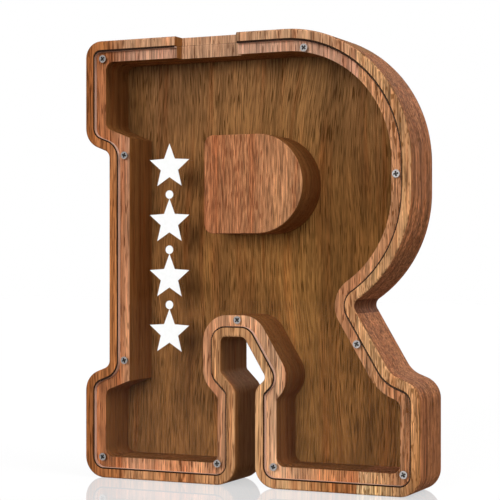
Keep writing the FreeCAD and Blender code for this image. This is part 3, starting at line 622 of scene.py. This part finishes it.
def screw_rings(head_radius, length, turn):
    """Rings of points (across, into the wood, up) from the head's middle to the tip.

    Head: radius grows from the middle to the rim, and depth = RECESS_DEPTH where the point lies in the cross.
    Cone: radius falls as fast as depth grows.
    Thread: radius = core + ridge(depth / pitch + angle / full turn).
    Tip: the same, times a factor that falls to nothing.
    """
    angle = np.linspace(0, 2 * math.pi, AROUND, endpoint=False)[None, :]
    face = np.linspace(FIRST_RING, 1, FACE_RINGS)[:, None] * head_radius
    u = face * np.cos(angle - turn)
    v = face * np.sin(angle - turn)
    along_u = np.maximum(np.abs(u) - RECESS_REACH, np.abs(v) - RECESS_HALF_WIDTH)
    along_v = np.maximum(np.abs(v) - RECESS_REACH, np.abs(u) - RECESS_HALF_WIDTH)
    inside = np.clip(-np.minimum(along_u, along_v) / RECESS_WALL, 0, 1)
    face_depth = RECESS_DEPTH * inside**RECESS_POWER

    cone_depth = RIM_HEIGHT + np.linspace(0, head_radius - SHANK_RADIUS, CONE_RINGS)[:, None]
    cone_radius = head_radius - (cone_depth - RIM_HEIGHT)
    shank_depth = np.linspace(cone_depth[-1, 0] + NECK, length - TIP_SPARE, SHANK_RINGS)[:, None]
    phase = (shank_depth / THREAD_PITCH + angle / (2 * math.pi)) % 1
    ridge = np.clip(1 - np.abs(phase - 0.5) / RIDGE_HALF, 0, 1)
    begun = np.clip((shank_depth - shank_depth[0, 0]) / THREAD_RUN_IN, 0, 1)
    taper = np.clip((length - shank_depth) / TIP_LENGTH, 0, 1) ** TIP_POWER
    shank_radius = (CORE_RADIUS + (SHANK_RADIUS - CORE_RADIUS) * ridge * begun) * taper

    one = np.ones_like(angle)
    radius = np.concatenate([face * one, cone_radius * one, shank_radius])
    depth = np.concatenate([face_depth, cone_depth * one, shank_depth * one])
    return np.stack([radius * np.cos(angle), depth, radius * np.sin(angle)], axis=-1)


# %% [markdown]
# ## From rings to a skin
# Rings of points aren't a surface yet. Quads join each ring to the next, and a fan of triangles closes each
# end. Shading is smooth across faces, except at edges sharper than 40 degrees, such as the rim of the head.

# %% From rings to a closed mesh
SHARP_EDGE = math.radians(40)


def closed_skin(name, rings, first, last):
    """Joins rings of points to one closed mesh: quads between the rings, and a fan to a pole at each end."""
    rows, around, _ = rings.shape
    points = np.concatenate([rings.reshape(-1, 3), [first, last]])
    here = np.arange(rows * around).reshape(rows, around)
    beside = np.roll(here, -1, axis=1)
    quads = np.stack([here[:-1], here[1:], beside[1:], beside[:-1]], axis=-1).reshape(-1, 4)
    start = np.stack([np.full(around, rows * around), here[0], beside[0]], axis=-1)
    end = np.stack([here[-1], np.full(around, rows * around + 1), beside[-1]], axis=-1)
    mesh = bpy.data.meshes.new(name)
    mesh.from_pydata(points.tolist(), [], [*quads.tolist(), *start.tolist(), *end.tolist()])
    mesh.polygons.foreach_set("use_smooth", np.ones(len(mesh.polygons), bool))
    mesh.set_sharp_from_angle(angle=SHARP_EDGE)
    piece = bpy.data.objects.new(name, mesh)
    bpy.context.scene.collection.objects.link(piece)
    return piece


# %% [markdown]
# ## Zinc-plated steel
# Zinc is a metal, so it has no colour but its mirror's, here a slightly warm grey. The plating is cloudy from
# spot to spot, which a noise of about 0.6 mm gives to its tone and roughness. In the photograph the crosses
# are dark, so the recess is darkened with painted shade and some grime. It goes by depth below the face
# alone, which is simple, but it also darkens the cone and the shank. The wood hides these until a screw is
# drawn out.

# %% The plating
CLOUD_SIZE = 0.6 * MM
RECESS_SHADE_START = 0.06 * MM
RECESS_SHADE_FULL = 0.3 * MM
zinc, tree = new_material("zinc_plated_steel")
place = add(tree, "TexCoord").outputs["Object"]
cloud = add(tree, "TexNoise", {"Vector": place, "Scale": 1 / CLOUD_SIZE, "Detail": 3.0}).outputs[0]
tint = {0: cloud, 6: colour("#787472"), 7: colour("#9a9693")}
plating = add(tree, "Mix", tint, data_type="RGBA").outputs[2]
# The painted shade and grime begin just under the face of the head, which lies at the same depth on every
# screw.
depth = add(tree, "SeparateXYZ", {0: place}).outputs["Y"]
head_face = float(screw_boxes[0, 0, 1])
sunk = {"Value": depth, "From Min": head_face + RECESS_SHADE_START, "From Max": head_face + RECESS_SHADE_FULL}
recess_shade_and_grime = add(tree, "MapRange", sunk).outputs[0]
# The dark grey is painted shade in the recess, with some grime.
plating = add(tree, "Mix", {0: recess_shade_and_grime, 6: plating, 7: colour("#3a3836")}, data_type="RGBA").outputs[2]
dull = add(tree, "MapRange", {"Value": cloud, "To Min": 0.35, "To Max": 0.55}).outputs[0]
surface = add(tree, "BsdfPrincipled", {"Base Color": plating, "Metallic": 1.0, "Roughness": dull})
add(tree, "OutputMaterial", {"Surface": surface.outputs[0]})
print(zinc.name, "has", len(tree.nodes), "nodes")

# %% Make the screws
# Screws are seldom lined up, so each cross stands at another angle.
SCREW_TURN = math.radians(37)
for number, node_name in enumerate(screw_names, start=1):
    low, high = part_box(node_name)
    middle = np.array([(low.x + high.x) / 2, low.y, (low.z + high.z) / 2])
    length = high.y - low.y
    rings = screw_rings((high.x - low.x) / 2, length, SCREW_TURN * number)
    bottom = np.array([0, RECESS_DEPTH, 0])
    tip = np.array([0, length, 0])
    piece = closed_skin(node_name + "_threaded", rings + middle, bottom + middle, tip + middle)
    piece.data.materials.append(zinc)
    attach(piece, node_name)
    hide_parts(node_name)
print(len(screw_names), "screws of", len(piece.data.polygons), "faces each")

# %% [markdown]
# ## The floor
# The box stands on a glossy white table. The camera sees it as white, with a pale mirror image under the
# feet, so part of the floor's brightness is given to camera, mirror and window rays only. The rest is an
# ordinary matt surface that keeps the box's soft shadow and throws only a modest light back up.

# %% Make the floor
FLOOR_HALF = 3.0
FLOOR_LEVEL = cad_box[0][2]
floor_corners = FLOOR_HALF * np.array([(-1, -1), (1, -1), (1, 1), (-1, 1)])
mesh = bpy.data.meshes.new("white_table")
mesh.from_pydata([(x, y, FLOOR_LEVEL) for x, y in floor_corners], [], [(0, 1, 2, 3)])
floor = bpy.data.objects.new("white_table", mesh)
bpy.context.scene.collection.objects.link(floor)
print("table of", 2 * FLOOR_HALF, "m")

# %% Dress the floor
WHITE = colour("#ffffff")
FLOOR_GREY = colour("#6c6c6c")
FLOOR_GLOW = 0.9
table, tree = new_material("glossy_white_table")
path = add(tree, "LightPath").outputs
seen = path["Is Camera Ray"]
for ray in ("Is Glossy Ray", "Is Transmission Ray"):
    seen = add(tree, "Math", {0: seen, 1: path[ray]}, operation="MAXIMUM").outputs[0]
glow = add(tree, "Math", {0: seen, 1: FLOOR_GLOW}, operation="MULTIPLY").outputs[0]
matt = add(tree, "BsdfDiffuse", {"Color": FLOOR_GREY})
light = add(tree, "Emission", {"Color": WHITE, "Strength": glow})
both = add(tree, "AddShader", {0: matt.outputs[0], 1: light.outputs[0]})
mirror = add(tree, "BsdfGlossy", {"Color": WHITE, "Roughness": 0.012})
grazing = add(tree, "Fresnel", {"IOR": 1.19}).outputs[0]
top = add(tree, "MixShader", {0: grazing, 1: both.outputs[0], 2: mirror.outputs[0]})
add(tree, "OutputMaterial", {"Surface": top.outputs[0]})
floor.data.materials.append(table)
print(table.name, "has", len(tree.nodes), "nodes")

# %% [markdown]
# ## Studio light
# The world is white where the camera looks past the box, where something glossy mirrors it and where the
# window shows it. For all other rays it is a dim studio that is brighter at the front. A dark card stands at
# the front left: the window mirrors just that direction towards the camera, so the card keeps it clear.
# A wide soft lamp from the front gives the front its full colour, a second one from above and the right
# models the round of the bowl, and a third lights the back. Undersides and the inside of the box are left to
# the dim studio.

# %% Make the dim studio
FRONT_GLOW = 0.38
BACK_GLOW = 0.09
FRONT_DIRECTION = (0.0, -1.0, 0.3)
CARD_ANGLE = math.radians(25)
CARD_DIRECTION = (-math.sin(CARD_ANGLE), -math.cos(CARD_ANGLE), 0.0)
world = bpy.data.worlds.new("studio")
bpy.context.scene.world = world
world.use_nodes = True
tree = world.node_tree
tree.nodes.clear()
look = add(tree, "TexCoord").outputs["Generated"]
to_front = add(tree, "VectorMath", {0: look, 1: FRONT_DIRECTION}, operation="DOT_PRODUCT").outputs["Value"]
to_card = add(tree, "VectorMath", {0: look, 1: CARD_DIRECTION}, operation="DOT_PRODUCT").outputs["Value"]
glow = {"Value": to_front, "From Min": -0.3, "From Max": 0.8, "To Min": BACK_GLOW, "To Max": FRONT_GLOW}
room = add(tree, "MapRange", glow, interpolation_type="SMOOTHSTEP").outputs[0]
# A value of 1 is the middle of the card, and 0.8 is about 37 degrees away from it.
card = {"Value": to_card, "From Min": 0.80, "From Max": 0.93, "To Min": 1.0, "To Max": 0.05}
open_part = add(tree, "MapRange", card, interpolation_type="SMOOTHSTEP").outputs[0]
room = add(tree, "Math", {0: room, 1: open_part}, operation="MULTIPLY").outputs[0]
print("studio glow from", BACK_GLOW, "at the back to", FRONT_GLOW, "at the front")

# %% Make the white background
path = add(tree, "LightPath").outputs
# The window shows the white, unless the ray was mirrored on its way.
unbounced = add(tree, "Math", {0: path["Glossy Depth"], 1: 0.5}, operation="LESS_THAN").outputs[0]
shown = add(tree, "Math", {0: path["Is Transmission Ray"], 1: unbounced}, operation="MULTIPLY").outputs[0]
beside = add(tree, "MapRange", {"Value": to_card, "From Min": 0.85, "From Max": 0.6}).outputs[0]
mirrored = add(tree, "Math", {0: path["Is Glossy Ray"], 1: beside}, operation="MULTIPLY").outputs[0]
white = path["Is Camera Ray"]
for ray in (shown, mirrored):
    white = add(tree, "Math", {0: white, 1: ray}, operation="MAXIMUM").outputs[0]
strength = add(tree, "Mix", {0: white, 2: room, 3: 1.0}, data_type="FLOAT").outputs[0]
sky = add(tree, "Background", {"Color": WHITE, "Strength": strength})
add(tree, "OutputWorld", {"Surface": sky.outputs[0]})
print(world.name, "has", len(tree.nodes), "nodes")

# %% Hang the lamps
# Each lamp: its strength, then in degrees how soft it is, how far round to the right it stands, and how high.
lamps = {
    "front_key": (2.35, 30, 0, 12),
    "top_right_fill": (1.35, 30, 80, 45),
    "back_fill": (1.7, 20, 180, 10),
}
for lamp_name, (energy, softness, right, up) in lamps.items():
    lamp = bpy.data.lights.new(lamp_name, "SUN")
    lamp.energy = energy
    lamp.angle = math.radians(softness)
    stand = bpy.data.objects.new(lamp_name, lamp)
    stand.rotation_euler = (math.radians(90 - up), 0, math.radians(right))
    bpy.context.scene.collection.objects.link(stand)
    print(lamp_name, "of strength", energy)

# %% [markdown]
# ## The camera
# The photograph was taken with a long lens, a little to the right of the front and level, at about half the
# box's height. The uprights stay upright because the lens is shifted instead of tilted.

# %% Make the camera
VIEW_ANGLE = math.radians(25)
DISTANCE = 725.1 * MM
AIM_X = 2.8 * MM
AIM_Z = 104.8 * MM
camera = bpy.data.objects.new("camera", bpy.data.cameras.new("camera"))
# The film's width and the lens are in mm, and the shift is a share of the picture.
camera.data.sensor_width = 36.0
camera.data.lens = 113.52
camera.data.shift_y = 0.0193
aim = np.array([AIM_X, FRONT, AIM_Z])
camera.location = aim + DISTANCE * np.array([math.sin(VIEW_ANGLE), -math.cos(VIEW_ANGLE), 0.0])
camera.rotation_euler = (math.radians(90), 0, VIEW_ANGLE)
bpy.context.scene.collection.objects.link(camera)
bpy.context.scene.camera = camera
bpy.context.scene.view_settings.view_transform = "Standard"
print("camera at", [round(v / MM, 1) for v in camera.location], "mm")
